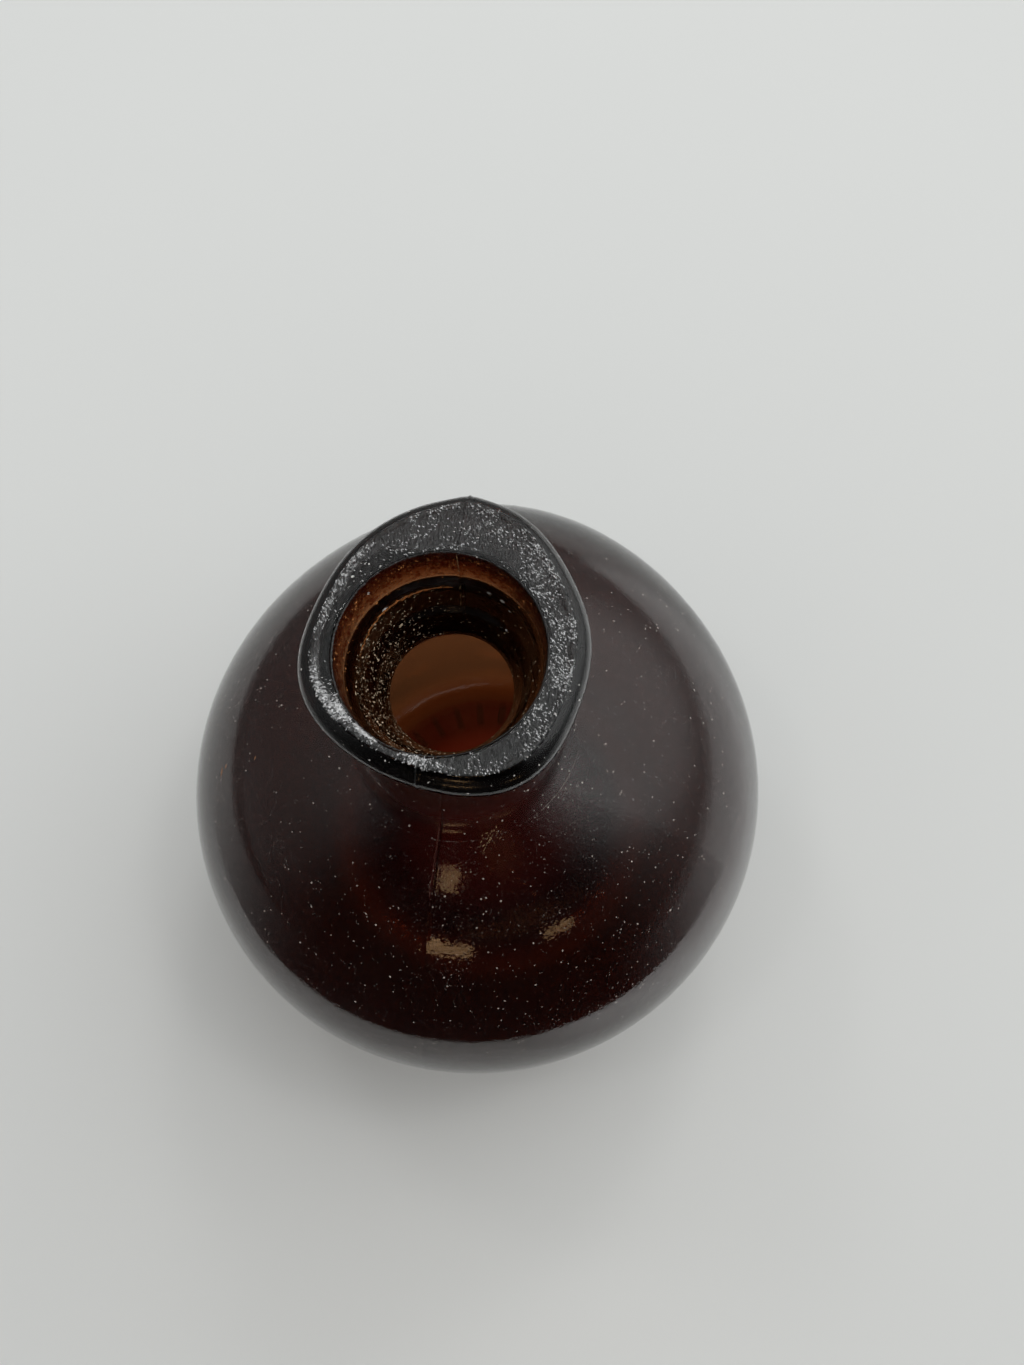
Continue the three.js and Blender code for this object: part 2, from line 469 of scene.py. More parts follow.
# The waves of the lip's outline: number of crests, height in millimetres, direction of one crest in degrees
LIP_WAVES = ((1, 3.85, 64), (2, 1.4, 95), (3, 1.6, 73), (4, 0.35, 15), (5, 0.24, 4), (6, 0.32, 7))


def lip_swell(lip, angle):
    """How far the lip's edge is moved out in a direction, or in where this is below nought."""
    swell = sum(
        height * MM * np.cos(crests * (angle - math.radians(towards)))
        for crests, height, towards in LIP_WAVES)
    return swell + lip.crest_height * np.exp(-(off_way(angle, lip.seam_direction) / lip.crest_spread) ** 2)


def lip_rings(neck, lip):
    """Radii in the lip's mean section: the flat's inside, its outside, and the rounded edge's start."""
    levels = neck_levels(neck)
    edge_start = levels.top_outside.x + lip.overhang - lip.edge_radius * (1 - math.cos(lip.edge_arc / 2))
    return levels.mouth_radius + lip.mouth_rounding, edge_start - lip.bead_width, edge_start


def mark_flat(piece, neck, lip):
    """Notes how far across the lip's flat each point lies: 0 at the mouth, 1 at the bead."""
    _, radius, _ = read_points(piece)
    inner, outer, _ = lip_rings(neck, lip)
    across = (radius - inner) / (outer - inner)
    write_note(piece, "across_flat", across)
    return across


def pull_lip(piece, neck, lip):
    """Moves the lip's edge in and out along its uneven outline, and stretches what lies inside it."""
    points, radius, angle = read_points(piece)
    inner, outer, edge_start = lip_rings(neck, lip)
    swell = lip_swell(lip, angle)
    on_top = points[:, 2] > LIP_TOP - lip.edge_half_height
    still = np.where(on_top, inner, neck_levels(neck).top_outside.x)
    moved = np.where(on_top, outer, edge_start)
    share = np.clip((radius - still) / (moved - still), 0, 1) * (points[:, 2] > LIP_FOOT)
    points[:, :2] *= (1 + share * swell / np.maximum(radius, MM))[:, None]
    write_points(piece, points)


# Heights above the widest ring where the globe's swell begins, is full, begins to fall, and is gone
SWELL_HEIGHTS = (4 * MM, 34 * MM, 42 * MM, 72 * MM)


def fill_shoulder(piece, shape):
    """Swells the upper back of the globe, which is fuller than the rest."""
    points, radius, angle = read_points(piece)
    side = np.exp(-(off_way(angle, shape.swell_direction) / shape.swell_spread) ** 2)
    begins, full, falls, gone = (shape.equator + height for height in SWELL_HEIGHTS)
    level = ramp(points[:, 2], begins, full) * (1 - ramp(points[:, 2], falls, gone))
    grown = np.minimum(radius + shape.swell * side * level, np.maximum(radius, shape.radius - MM / 10))
    points[:, :2] *= (grown / np.maximum(radius, MM))[:, None]
    write_points(piece, points)


# The step in the bore fades round one side: its middle, and how far below and above the step it reaches
FADED_SIDE = math.radians(-20)
FADE_BELOW = 3 * MM
FADE_ABOVE = 6 * MM

# The ledge shows at the back alone: the middle of that side, and how far each edge moves elsewhere
LEDGE_SIDE = math.radians(88)
LEDGE_MOVE = 0.85 * MM


def soften_step(piece, neck):
    """Rounds away the step at the foot of the bore, and the ledge below, where they hardly show."""
    points, radius, angle = read_points(piece)
    levels = neck_levels(neck)
    height = points[:, 2]
    top = levels.bore_foot.z + FADE_ABOVE
    foot = levels.ledge_outside.z + FADE_BELOW
    share = (height - foot) / (top - foot)
    low = levels.ledge_outside.x + neck.upper_spread * FADE_BELOW / neck.upper_rise
    high = levels.mouth_radius - MM / 4
    round_radius = low + (high - low) * (1 - (1 - np.clip(share, 0, 1)) ** 2)
    wanted = ramp(np.cos(angle - FADED_SIDE), -0.35, 0.55) * ramp(share * (1 - share), 0, 0.12)
    inner = (share > 0) & (share < 1) & (radius < levels.mouth_radius + MM / 10)
    grown = np.where(inner, radius + wanted * (round_radius - radius), radius)
    points[:, :2] *= (grown / np.maximum(radius, MM))[:, None]
    near = (np.abs(height - levels.ledge_inside.z) < MM / 10) & (radius < levels.ledge_outside.x + MM / 10)
    way = np.where(radius > (levels.ledge_inside.x + levels.ledge_outside.x) / 2, 1, -1)
    points[:, 2] += np.where(near, LEDGE_MOVE * way * (1 - ramp(np.cos(angle - LEDGE_SIDE), 0.55, 0.9)), 0)
    write_points(piece, points)


def press_grooves(piece, shape):
    """Presses grooves across the ring that touches the table, and notes where they are."""
    points, radius, angle = read_points(piece)
    pitch = math.tau / shape.groove_count
    away = np.abs((angle / pitch + 0.5) % 1 - 0.5) * pitch * radius
    across = 1 - ramp(away, shape.groove_width / 4, shape.groove_width * 3 / 4)
    inner = shape.stand_radius - shape.stand_width
    outer = shape.stand_radius
    along = ramp(radius, inner - MM, inner + MM) * (1 - ramp(radius, outer + MM, outer + 3 * MM))
    pressed = across * along * (1 - ramp(points[:, 2], MM, 3 * MM))
    points[:, 2] += shape.groove_depth * pressed
    write_points(piece, points)
    write_note(piece, "groove", pressed)


# Heights of the walls' waves: outside, where they only go in, inside, and the dimples in the floor
OUTER_WAVE = 0.09 * MM
INNER_WAVE = 0.22 * MM
DIMPLE = 0.1 * MM

# How proud the seam stands on the globe, as a share of its height on the lip
GLOBE_SEAM = 0.55


def work_surface(piece, shape, neck, lip, across):
    """Raises the mould seams, pebbles the lip's flat top and makes the walls slightly wavy."""
    points, radius, _ = read_points(piece)
    normals = read_rows(piece.data.vertices, "normal")
    x, y, z = points.T
    outward = (normals[:, 0] * x + normals[:, 1] * y) / np.maximum(radius, MM)
    outer = (outward > 0.02) & (z > shape.base_top)
    in_neck = (outward <= 0.02) & (z > neck_levels(neck).ledge_inside.z + MM / 4)
    off_seam = np.abs(x * math.sin(lip.seam_direction) - y * math.cos(lip.seam_direction))
    seam = np.exp(-(off_seam / lip.seam_width) ** 2) * lip.seam_height * np.where(
        outer, GLOBE_SEAM + (1 - GLOBE_SEAM) * ramp(z, LIP_FOOT, LIP_FOOT + 3 * MM),
        np.where(in_neck, 1.0, 0.0))
    on_top = ramp(across, 0.02, 0.2) * (1 - ramp(across, 1.2, 1.35)) * (z > LIP_TOP - lip.bead_rise - MM)
    top_rows = np.flatnonzero(on_top > 0)
    coarse = noise_at(points[top_rows], 1 / lip.pebble_size, (3.1, 0.4, 8.2))
    fine = noise_at(points[top_rows], 2.3 / lip.pebble_size, (9.7, 2.6, 1.3))
    pebbles = np.zeros(len(points))
    pebbles[top_rows] = (-0.5 + 0.7 * coarse + 0.5 * fine) * lip.pebble_depth * on_top[top_rows]
    waves = noise_at(points, 14, (0.7, 5.2, 2.9))
    ripple = np.where(outward > 0, -OUTER_WAVE * (1 + waves), INNER_WAVE * waves)
    ripple *= ramp(z, shape.base_top, shape.base_top * 2) * (1 - ramp(z, LIP_FOOT - 20 * MM, LIP_FOOT))
    low = np.flatnonzero((outward <= 0.02) & (normals[:, 2] > 0) & (z < 50 * MM) & (z > shape.hollow_rise))
    dimples = noise_at(points[low], 85, (4.4, 7.1, 0.6)) + 0.4 * noise_at(points[low], 210, (1.4, 3.3, 6.2))
    ripple[low] += DIMPLE * dimples * (1 - ramp(z[low], 30 * MM, 50 * MM))
    points += normals * (seam + pebbles + ripple)[:, None]
    points[:, 2] = np.clip(points[:, 2], 0, LIP_TOP)
    write_points(piece, points)


class NodeDesk:
    """Places the nodes of one material and joins them up."""

    def __init__(self, tree):
        self.tree = tree
        self.count = 0

    def add(self, kind, **settings):
        """A new node with its settings."""
        node = self.tree.nodes.new(kind)
        node.location = (self.count % 6 * 220, -(self.count // 6) * 320)
        self.count += 1
        for name, value in settings.items():
            setattr(node, name, value)
        return node

    def join(self, value, socket):
        """Joins another node's output to a socket, or sets the socket to a plain value."""
        if isinstance(value, bpy.types.NodeSocket):
            self.tree.links.new(value, socket)
        else:
            socket.default_value = value

    def feed(self, node, **sockets):
        """Sets or joins input sockets by name, with a space for each underscore."""
        for name, value in sockets.items():
            self.join(value, node.inputs[name.replace("_", " ")])
        return node

    def math(self, operation, *values, clamp=False):
        """One step of arithmetic."""
        node = self.add("ShaderNodeMath", operation=operation, use_clamp=clamp)
        for socket, value in zip(node.inputs, values):
            self.join(value, socket)
        return node.outputs[0]

    def times(self, first, *others):
        """The product of two or more values."""
        for other in others:
            first = self.math("MULTIPLY", first, other)
        return first

    def vector(self, operation, first, second=(0, 0, 0)):
        """One step of arithmetic with vectors, whose result may be a vector or a number."""
        node = self.feed(self.add("ShaderNodeVectorMath", operation=operation), Vector=first)
        node.inputs[1].default_value = second
        return node.outputs["Value" if operation in ("LENGTH", "DOT_PRODUCT") else "Vector"]

    def blend(self, share, first, second):
        """A colour between two others."""
        node = self.add("ShaderNodeMix", data_type="RGBA")
        for index, value in ((0, share), (6, first), (7, second)):
            self.join(value, node.inputs[index])
        return node.outputs[2]

    def remap(self, value, low, high, to_low=0.0, to_high=1.0):
        """Maps a range smoothly onto another."""
        node = self.add("ShaderNodeMapRange", interpolation_type="SMOOTHSTEP")
        self.feed(node, Value=value, From_Min=low, From_Max=high, To_Min=to_low, To_Max=to_high)
        return node.outputs["Result"]

    def noise(self, coordinates, scale, detail=2.0, roughness=0.5, distortion=0.0):
        """A noise pattern's value."""
        return self.feed(
            self.add("ShaderNodeTexNoise"), Vector=coordinates, Scale=scale, Detail=detail,
            Roughness=roughness, Distortion=distortion).outputs["Fac"]

    def bump(self, height, depth, strength=1.0, **under):
        """Bump of a depth in metres, over the bump that is given as Normal."""
        return self.feed(
            self.add("ShaderNodeBump"), Strength=strength, Distance=depth, Height=height,
            **under).outputs["Normal"]

    def note(self, name):
        """A number that the mesh keeps for its points."""
        return self.add("ShaderNodeAttribute", attribute_name=name).outputs["Fac"]

    def toward(self, flat_place, direction, low, high):
        """A mask that is 1 on the side of a direction and 0 away from it."""
        way = self.vector("NORMALIZE", flat_place)
        return self.remap(self.vector("DOT_PRODUCT", way, level_way(direction)), low, high)


def fresh_material(name):
    """An empty material, its desk, its output node and the place of each point on the piece."""
    material = bpy.data.materials.new(name)
    material.use_nodes = True
    material.node_tree.nodes.clear()
    desk = NodeDesk(material.node_tree)
    output = desk.add("ShaderNodeOutputMaterial")
    return material, desk, output, desk.add("ShaderNodeTexCoord").outputs["Object"]


def wear_group():
    """A node group that gives masks of fine scratches, cloudy smudges and specks."""
    group = bpy.data.node_groups.new("wear_masks", "ShaderNodeTree")
    group.interface.new_socket("Vector", in_out="INPUT", socket_type="NodeSocketVector")
    for mask in ("Scratches", "Smudges", "Specks"):
        group.interface.new_socket(mask, in_out="OUTPUT", socket_type="NodeSocketFloat")
    desk = NodeDesk(group)
    place = desk.add("NodeGroupInput").outputs["Vector"]
    leave = desk.add("NodeGroupOutput")
    total = 0.0
    for turn, squeeze in ((0.35, 9.0), (1.2, 7.0), (2.3, 11.0)):
        lay = desk.add("ShaderNodeMapping")
        desk.feed(lay, Vector=place, Rotation=(turn, turn * 1.7, turn * 2.9), Scale=(squeeze, 0.35, 1))
        lines = desk.noise(lay.outputs["Vector"], 90.0, detail=3.0, roughness=0.7)
        total = desk.math("MAXIMUM", total, desk.remap(lines, 0.7, 0.76))
    patches = desk.remap(desk.noise(place, 30.0), 0.4, 0.62)
    clouds = desk.noise(place, 24.0, detail=5.0, roughness=0.62, distortion=0.5)
    grains = desk.noise(place, 1500.0, detail=1.0)
    desk.feed(
        leave, Scratches=desk.times(total, patches), Smudges=desk.remap(clouds, 0.42, 0.72),
        Specks=desk.remap(grains, 0.69, 0.74))
    return group


# Sides of the lip: where the top is rubbed smooth, where its painted glints lie thickest and its coat haze is
# strongest, and in front, where the painted glints are few
SMOOTH_SIDE = math.radians(158)
GLINTY_SIDE = math.radians(228)
BARE_SIDE = math.radians(-76)

# The direction of the strokes in the lip's top
STROKES = math.radians(-42)

# Sides of the neck's inside: where painted shade darkens it, the band at the bore's foot too, and where the
# step's foot shines through
PAINTED_SHADE_SIDE = math.radians(-30)
ARC_SIDE = math.radians(138)

# Colours that the glass's surface gives to the light: painted shade in the neck and in the grooves of the
# stand ring, the stains in the bore, and the thick glass of the foot
PAINTED_SHADE_COLOUR = (0.025, 0.014, 0.016, 1)
STAIN_COLOUR = (0.2, 0.045, 0.02, 1)
FOOT_COLOUR = (1.0, 0.3, 0.45, 1)


def glass_zones(desk, place, lip, neck):
    """Where a point of the glass lies: its height, its place seen from above, and masks of the zones."""
    levels = neck_levels(neck)
    height = desk.feed(desk.add("ShaderNodeSeparateXYZ"), Vector=place).outputs["Z"]
    flat_place = desk.vector("MULTIPLY", place, (1, 1, 0))
    radius = desk.vector("LENGTH", flat_place)
    across = desk.note("across_flat")
    flat = LIP_TOP - lip.bead_rise
    foot = levels.bore_foot.z
    throat = levels.throat.z
    inner = desk.remap(radius, levels.mouth_radius + 0.9 * MM, levels.mouth_radius + 0.4 * MM)
    return SimpleNamespace(
        height=height, flat_place=flat_place, across=across,
        on_top=desk.times(
            desk.remap(across, 0.0, 0.1), desk.remap(across, 1.4, 1.28),
            desk.remap(height, flat - 1.2 * MM, flat - 0.7 * MM)),
        on_edge=desk.times(desk.remap(across, 1.4, 1.6), desk.remap(height, LIP_FOOT, LIP_FOOT + MM)),
        in_bore=desk.times(desk.remap(height, foot + 0.2 * MM, foot + 1.4 * MM), inner),
        in_neck=desk.times(desk.remap(height, throat - MM, throat + MM), inner),
        on_flare=desk.times(
            desk.remap(height, 142 * MM, 152 * MM), desk.remap(height, LIP_FOOT - MM, LIP_FOOT - 4 * MM),
            desk.remap(radius, 22.5 * MM, 24.5 * MM)),
        on_wall=desk.remap(height, LIP_FOOT + 6 * MM, LIP_FOOT - 2 * MM),
        in_foot=desk.times(desk.remap(height, 14.5 * MM, 12 * MM), desk.remap(radius, 51.5 * MM, 49 * MM)))


def worn_top(desk, place, zones):
    """The part of the lip's top that isn't rubbed smooth, with an uneven edge."""
    rubbed = desk.toward(zones.flat_place, SMOOTH_SIDE, 0.55, 0.9)
    past = desk.math("SUBTRACT", zones.across, desk.times(rubbed, 0.85))
    uneven = desk.times(desk.math("SUBTRACT", desk.noise(place, 120.0, detail=3.0), 0.5), 1.1, rubbed)
    return desk.times(desk.remap(desk.math("ADD", past, uneven), 0.0, 0.2), zones.on_top)


def glass_bump(desk, place, zones, pebbles, worn, scratches):
    """Fine relief: pebbles on the lip, a rough bore, a faint ripple and fine grain all over, scratches."""
    rough_bore = desk.noise(place, 420.0, detail=3.0, roughness=0.6)
    normal = desk.bump(desk.times(pebbles, worn), 0.5 * MM)
    normal = desk.bump(desk.times(rough_bore, zones.in_bore), 0.9 * MM, Normal=normal)
    normal = desk.bump(desk.noise(place, 160.0), 0.015 * MM, Normal=normal)
    normal = desk.bump(desk.noise(place, 900.0), 0.035 * MM, Normal=normal)
    return desk.bump(scratches, 0.03 * MM, strength=0.6, Normal=normal)


def glass_roughness(desk, finish, zones, worn, smudges):
    """The smooth wall's roughness, with more on the lip, in the neck and on the flare under the lip."""
    rough = desk.math("MULTIPLY_ADD", smudges, 0.03, finish.roughness)
    for zone, more in (
            (worn, finish.lip_roughness), (zones.in_bore, finish.bore_roughness),
            (zones.in_neck, finish.neck_roughness), (zones.on_flare, finish.flare_roughness),
            (zones.on_edge, finish.edge_roughness)):
        rough = desk.math("MULTIPLY_ADD", zone, more, rough)
    return rough


def glass_haze(desk, zones, pebbles, worn, wear):
    """How much pale haze lies on the glass: smudges, scratches and specks on the wall, flakes on the lip."""
    bright = desk.toward(zones.flat_place, GLINTY_SIDE, 0.35, 0.9)
    flake_from = desk.math("MULTIPLY_ADD", bright, -0.06, 0.6)
    flakes = desk.remap(desk.math("SUBTRACT", pebbles, flake_from), 0.0, 0.06)
    lip_haze = desk.times(flakes, worn, desk.math("MULTIPLY_ADD", bright, 0.1, 0.1))
    wall_haze = desk.times(wear["Smudges"], 0.025)
    wall_haze = desk.math("MULTIPLY_ADD", wear["Scratches"], 0.35, wall_haze)
    wall_haze = desk.math("MULTIPLY_ADD", wear["Specks"], 0.5, wall_haze)
    return desk.math("ADD", desk.times(wall_haze, zones.on_wall), lip_haze, clamp=True)


def glass_colour(desk, place, zones, neck):
    """The surface's colour: clear, but for painted shade in the neck and in the grooves, stains in the bore
    and a red foot.
    """
    foot = neck_levels(neck).bore_foot.z
    step = neck_levels(neck).step.z
    in_shade = desk.toward(zones.flat_place, PAINTED_SHADE_SIDE, -0.35, 0.5)
    band = desk.times(
        desk.remap(zones.height, foot - 0.4 * MM, foot + 0.5 * MM),
        desk.math("MULTIPLY_ADD", in_shade, -0.97, 1.0))
    arc = desk.times(
        desk.remap(zones.height, step - 1.1 * MM, step - 0.3 * MM),
        desk.remap(zones.height, step + 1.3 * MM, step + 0.5 * MM),
        desk.toward(zones.flat_place, ARC_SIDE, 0.72, 0.9))
    wall = desk.times(desk.remap(zones.height, step - 0.6 * MM, step - 1.6 * MM), 0.6)
    open_glass = desk.math("MAXIMUM", desk.math("MAXIMUM", band, arc), wall)
    # Painted shade: a dark colour over the neck's inside, left open where light shines through at the bore's
    # foot and the step, and laid over the grooves of the stand ring
    painted_shade = desk.times(zones.in_neck, desk.math("SUBTRACT", 1.0, open_glass))
    painted_shade = desk.math("MAXIMUM", painted_shade, desk.times(desk.note("groove"), 0.9))
    blotches = desk.remap(desk.noise(place, 330.0, detail=4.0, roughness=0.7), 0.44, 0.58)
    stained = desk.blend(desk.times(blotches, zones.in_bore), (1, 1, 1, 1), STAIN_COLOUR)
    return desk.blend(painted_shade, desk.blend(zones.in_foot, stained, FOOT_COLOUR), PAINTED_SHADE_COLOUR)


def glass_material(finish, lip, neck):
    """Dark amber-brown glass: clear and dusty on the walls, pebbled on the lip's top, rough in the bore."""
    material, desk, output, place = fresh_material("dark_amber_glass")
    wear = desk.add("ShaderNodeGroup")
    wear.node_tree = wear_group()
    desk.feed(wear, Vector=place)
    zones = glass_zones(desk, place, lip, neck)
    worn = worn_top(desk, place, zones)
    strokes = desk.feed(
        desk.add("ShaderNodeMapping"), Vector=place, Rotation=(0, 0, STROKES), Scale=(1.0, 0.5, 1.0))
    pebbles = desk.noise(strokes.outputs["Vector"], 1300.0, detail=3.0, roughness=0.6, distortion=0.3)
    normal = glass_bump(desk, place, zones, pebbles, worn, wear.outputs["Scratches"])
    glass = desk.feed(
        desk.add("ShaderNodeBsdfPrincipled"), Base_Color=glass_colour(desk, place, zones, neck),
        Roughness=glass_roughness(desk, finish, zones, worn, wear.outputs["Smudges"]), Metallic=0.0, IOR=1.5,
        Transmission_Weight=1.0, Normal=normal,
        Coat_Weight=glass_haze(desk, zones, pebbles, worn, wear.outputs), Coat_Roughness=0.35,
        Coat_IOR=2.6, Coat_Normal=normal)
    depth = desk.feed(
        desk.add("ShaderNodeVolumeAbsorption"), Color=(*finish.tint, 1), Density=finish.density)
    desk.feed(output, Surface=glass.outputs["BSDF"], Volume=depth.outputs["Volume"])
    return material


def matt_chip_material(name, colour):
    """Matt colour for the chips, for dust and marks and for painted glints and highlights, a little lighter
    and darker from chip to chip.
    """
    material, desk, output, place = fresh_material(name)
    patch = desk.remap(desk.noise(place, 900.0, detail=1.0), 0.35, 0.65)
    shade = desk.blend(patch, (*(c * 0.55 for c in colour), 1), (*colour, 1))
    matt = desk.feed(desk.add("ShaderNodeBsdfPrincipled"), Base_Color=shade, Roughness=0.85, Metallic=0.0)
    desk.feed(output, Surface=matt.outputs["BSDF"])
    return material


class Chips:
    """Small eight-sided chips that lie on the glass, gathered into one piece."""

    def __init__(self):
        self.points = []
        self.faces = []

    def add(self, centre, *corners):
        """One chip: four corners round its middle, its top and its underside, as full widths from it."""
        start = len(self.points)
        self.points += [centre + corner / 2 for corner in corners]
        for a, b in ((0, 1), (1, 2), (2, 3), (3, 0)):
            self.faces.append((start + a, start + b, start + 4))
            self.faces.append((start + b, start + a, start + 5))

    def add_grain(self, draw, centre, normal, spread):
        """One grain of dust: flat, uneven, and half sunk in the surface."""
        size = spread.smallest + (spread.largest - spread.smallest) * draw.random() ** 4
        side = normal.orthogonal().normalized()
        side = Matrix.Rotation(draw.uniform(0, math.tau), 3, normal) @ side
        other = normal.cross(side)
        long, short, high = size * draw.uniform(0.7, 1.5), size * draw.uniform(0.5, 1.0), size * 0.3
        self.add(
            centre, side * long, other * short, -side * long * 0.8, -other * short * 0.9,
            normal * high, -normal * high)

    def add_sliver(self, place, normal, way, length, width, height):
        """One sliver: a long, low lozenge that lies on the surface and points along a way."""
        side = normal.cross(way).normalized()
        along = side.cross(normal)
        self.add(
            place, along * length, side * width, -along * length, -side * width,
            normal * height, -normal * height)

    def finish(self, name, colour):
        """Makes one object of all the chips."""
        mesh = bpy.data.meshes.new(name)
        mesh.from_pydata(self.points, [], self.faces)
        mesh.validate()
        chips = bpy.data.objects.new(name, mesh)
        bpy.context.collection.objects.link(chips)
        mesh.materials.append(matt_chip_material(name, colour))
        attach(chips, "root")


def scatter_dust(glass, spread, shape):
    """Places grains on the faces of the glass, by where the faces lie and how they are turned."""
    draw = random.Random(spread.seed)
    mesh = glass.data
    centres = read_rows(mesh.polygons, "center")
    normals = read_rows(mesh.polygons, "normal")
    areas = np.empty(len(mesh.polygons))
    mesh.polygons.foreach_get("area", areas)
    x, y, height = centres.T
    outward = (normals[:, 0] * x + normals[:, 1] * y) / np.maximum(np.hypot(x, y), MM)
    upward = normals[:, 2]
    even = np.ones(len(areas))
    high = 0.08 + ramp(height, shape.equator + 8 * MM, shape.equator + 48 * MM)
    left = 0.15 + np.clip(-x / (20 * MM), 0, 1)
    behind = 0.05 + np.clip((y - 0.4 * x) / (25 * MM), 0, 1)
    zones = (
        ("dust_on_globe",
         (outward > 0) & (upward > 0.15) & (height < LIP_FOOT - 8 * MM) & (height > shape.equator),
         high, spread.on_globe, (0.56, 0.5, 0.45)),
        ("dust_on_lip", (height > LIP_FOOT + 8 * MM) & (upward > 0.2),
         even, spread.on_lip, (0.8, 0.78, 0.75)),
        ("dust_in_neck", (outward < 0) & (height > 165 * MM) & (height < LIP_FOOT),
         left, spread.in_neck, (0.95, 0.78, 0.55)),
        # In the bore the grains are partly painted glow: orange chips, thickest at the back, that brighten
        # the band where light shines through the lip
        ("dust_and_painted_glow_in_bore", (outward < 0) & (height > LIP_FOOT + 3 * MM) & (height < LIP_TOP - 2 * MM),
         behind, spread.in_bore, (0.95, 0.4, 0.13)),
    )
    for name, chosen, favour, grains, colour in zones:
        rows = np.flatnonzero(chosen)
        weights = np.cumsum(areas[rows] * favour[rows])
        dust = Chips()
        for _ in range(grains):
            row = rows[min(np.searchsorted(weights, draw.random() * weights[-1]), len(rows) - 1)]
            corners = [mesh.vertices[i].co for i in mesh.polygons[row].vertices]
            across, along = draw.random(), draw.random()
            near = corners[0].lerp(corners[1], across)
            far = corners[-1].lerp(corners[-2], across)
            dust.add_grain(draw, near.lerp(far, along), Vector(normals[row]), spread)
        dust.finish(name, colour)


def painted_glint_density(angle, share, place):
    """How thickly the painted glints lie in a direction and at a share of the way across the flat, from 0 to
    1.
    """
    bright = ramp(math.cos(angle - GLINTY_SIDE), 0.68, 0.95)
    rubbed = ramp(math.cos(angle - SMOOTH_SIDE), 0.5, 0.85)
    bare = ramp(math.cos(angle - BARE_SIDE), 0.4, 0.95)
    on_bead = ramp(share, 0.88, 1.02)
    density = 0.34 + 0.66 * bright + 0.2 * on_bead - 0.24 * bare
    density *= 1 - rubbed * 0.95 * (1 - on_bead)
    clumps = noise.noise(place * 160) + 0.5 * noise.noise(place * 420)
    return density * ramp(clumps, -0.45, 0.35)


def scatter_painted_glints(glass, spread, neck, lip):
    """Lays painted glints, bright slivers that stand in for the lip's sparkle, over the lip's flat and along
    its bead, most of them on the glinty side.
    """
    draw = random.Random(spread.seed + 1)
    inner, outer, _ = lip_rings(neck, lip)
    flakes = Chips()
    laid = 0
    while laid < spread.flakes:
        angle = draw.uniform(0, math.tau)
        share = draw.uniform(0.04, 1.36)
        reach = inner + share * (outer - inner) + min(share, 1) * lip_swell(lip, angle)
        spot = Vector((reach * math.cos(angle), reach * math.sin(angle), LIP_TOP - lip.bead_rise))
        if draw.random() > painted_glint_density(angle, share, spot):
            continue
        laid += 1
        _, place, normal, _ = glass.closest_point_on_mesh(spot)
        turn = angle if math.cos(angle - GLINTY_SIDE) > 0.75 else STROKES
        turn += draw.uniform(-0.4, 0.4)
        way = Vector((math.cos(turn), math.sin(turn), draw.uniform(-0.05, 0.05)))
        length = draw.uniform(0.3, 0.95) * MM
        flakes.add_sliver(place, normal, way, length, draw.uniform(0.12, 0.28) * MM, 0.1 * MM)
    for spot in flakes.points:
        spot.z = min(spot.z, LIP_TOP)
    flakes.finish("lip_painted_glints", (0.82, 0.83, 0.84))


# Patches of fine scratches on the globe: direction in degrees, distance from the axis and breadth in
# millimetres, share of all
SCRATCH_PATCHES = (
    (-34, 39, 13, 0.34), (-92, 46, 9, 0.1), (-92, 64, 12, 0.1), (-64, 65, 8, 0.05), (-150, 68, 14, 0.08),
    (9, 58, 16, 0.1), (-90, 50, 45, 0.23))

# Rust-brown flecks on the globe: direction in degrees, then distance from the axis, length and width in
# millimetres
RUST_FLECKS = ((-173, 79, 3.6, 0.9), (-174, 77, 1.8, 0.7), (-173, 65, 1.6, 0.7))

# The painted warm highlight, a strip of strokes that stands in for a warm lamp's reflection: count of
# strokes, half the strip's length in millimetres, its middle's direction in degrees and distance from the
# axis in millimetres, and the lie of the strokes in degrees
PAINTED_WARM_HIGHLIGHT = (42, 4.2, -75, 36.5, 62)

# The dark line along the seam: count of marks, direction in degrees, distance of the first from the axis, and
# from each to the next, in millimetres
SEAM_MARKS = (26, -98.8, 31, 0.8)


def on_shoulder(glass, shape, degrees, distance):
    """The place and the normal of the upper globe's outside in a direction, at a distance from the axis."""
    top = level_way(math.radians(degrees)) * distance
    top.z = shape.equator + shape.half_height
    _, place, normal, _ = glass.ray_cast(top, Vector((0, 0, -1)))
    return place, normal


def scatter_scratches(glass, draw, spread, shape):
    """Lays short fine scratches on the upper globe, patch by patch."""
    marks = Chips()
    for degrees, distance, breadth, share in SCRATCH_PATCHES:
        lie = draw.uniform(0, math.pi)
        for _ in range(round(spread.scratches * share)):
            away = draw.gauss(0, 0.5) * breadth
            round_by = draw.gauss(0, 0.5) * breadth
            reach = min(max(distance + away, 36), 96) * MM
            place, normal = on_shoulder(glass, shape, degrees + math.degrees(round_by / distance), reach)
            way = level_way(lie + draw.uniform(-1.3, 1.3))
            length = (0.25 + 0.9 * draw.random() ** 3) * MM
            marks.add_sliver(place, normal, way, length, draw.uniform(0.05, 0.12) * MM, 0.04 * MM)
    marks.finish("globe_scratches", (0.34, 0.28, 0.25))


